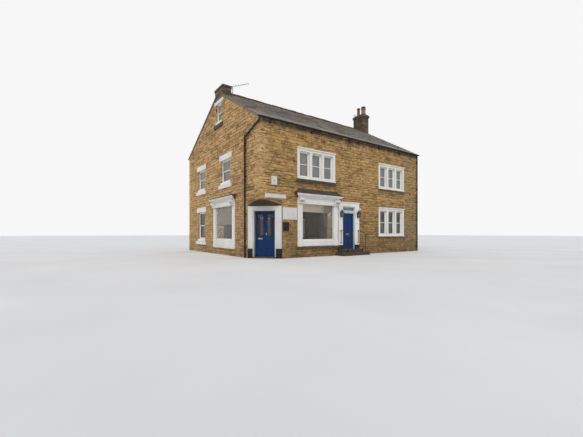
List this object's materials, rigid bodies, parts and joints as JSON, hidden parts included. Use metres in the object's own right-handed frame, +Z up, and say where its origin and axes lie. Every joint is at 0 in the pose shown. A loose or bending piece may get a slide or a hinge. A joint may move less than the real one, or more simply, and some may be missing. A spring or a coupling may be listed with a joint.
{
  "type": "corner shop building",
  "caption": "Stone end-of-terrace corner shop with a splayed shop doorway, timber shopfronts, a house door, slate roof and chimneys.",
  "frame": {"origin": "middle of the house's footprint, on the underside of the ground floor, at ground level", "axes": "+X along the front wall to the right as seen from the street, +Y from the front into the building, +Z up"},
  "size_m": [12.537, 10.7943, 11.128],
  "materials": {
    "sandstone": "coursed, weathered",
    "dark_stone": "weathered dark",
    "flagstone": "worn",
    "stone_slate": "lichened",
    "painted_stone": "white masonry paint",
    "black_paint": "black gloss paint",
    "white_timber": "white gloss paint",
    "blue_timber": "navy gloss paint",
    "floor_timber": "bare boards",
    "sheet_lead": "dull weathered lead",
    "black_metal": "black paint",
    "terracotta": "sooted",
    "clear_glass": "clear",
    "aged_brass": "worn",
    "white_board": "matt white"
  },
  "bodies": {
    "building": {"front_wall_shop_side": "sandstone", "front_wall_window_side": "sandstone", "front_wall_upper": "sandstone", "gable_wall_ground": "sandstone", "gable_wall_upper": "sandstone", "rear_wall": "sandstone", "party_wall": "sandstone", "corner_piers": "sandstone", "gable_chimney": "sandstone", "party_chimney": "sandstone", "window_sills": "sandstone", "shopfront_sills": "sandstone", "corner_threshold": "sandstone", "corner_corbel": "dark_stone", "ridge_tiles": "dark_stone", "lower_step": "dark_stone", "upper_step": "dark_stone", "ground_floor": "flagstone", "roof_front_slope": "stone_slate", "roof_rear_slope": "stone_slate", "window_surrounds": "painted_stone", "window_lintels": "painted_stone", "plinth_blocks": "black_paint", "shopfront_pilasters": "white_timber", "shopfront_consoles": "white_timber", "shopfront_fascias": "white_timber", "shopfront_cornices": "white_timber", "shopfront_sashes": "white_timber", "shopfront_aprons": "white_timber", "corner_door_surround": "white_timber", "house_door_surround": "white_timber", "house_door_frame": "white_timber", "casement_frames": "white_timber", "sash_frames": "white_timber", "first_floor": "floor_timber", "attic_floor": "floor_timber", "shopfront_lead_roofs": "sheet_lead", "front_gutter": "black_metal", "rear_gutter": "black_metal", "front_downpipe": "black_metal", "gable_downpipe": "black_metal", "pot_cowl": "black_metal", "handrails": "black_metal", "lanterns": "black_metal", "wall_boxes": "black_metal", "chimney_pots": "terracotta", "shopfront_glass": "clear_glass", "window_glass": "clear_glass", "house_door_glass": "clear_glass", "notice_boards": "white_board"},
    "shop_door_left": {"shop_door_left": "blue_timber", "shop_door_left_glass": "clear_glass", "shop_door_letter_plate": "aged_brass"},
    "shop_door_right": {"shop_door_right": "blue_timber", "shop_door_right_glass": "clear_glass", "shop_door_handle": "aged_brass"},
    "house_door": {"house_door": "blue_timber", "house_door_knob": "aged_brass"}
  },
  "joints": [
    {"name": "shop_door_left_hinge", "type": "hinge", "parent": "building", "child": "shop_door_left", "pos_m": [-5.6782, -3.8216, 0.068], "axis": [0, 0, 1], "range_deg": [0, 90]},
    {"name": "shop_door_right_hinge", "type": "hinge", "parent": "building", "child": "shop_door_right", "pos_m": [-4.9612, -4.5386, 0.068], "axis": [0, 0, -1], "range_deg": [0, 90]},
    {"name": "house_door_hinge", "type": "hinge", "parent": "building", "child": "house_door", "pos_m": [-0.923, -4.887, 0.328], "axis": [0, 0, 1], "range_deg": [0, 90]}
  ]
}
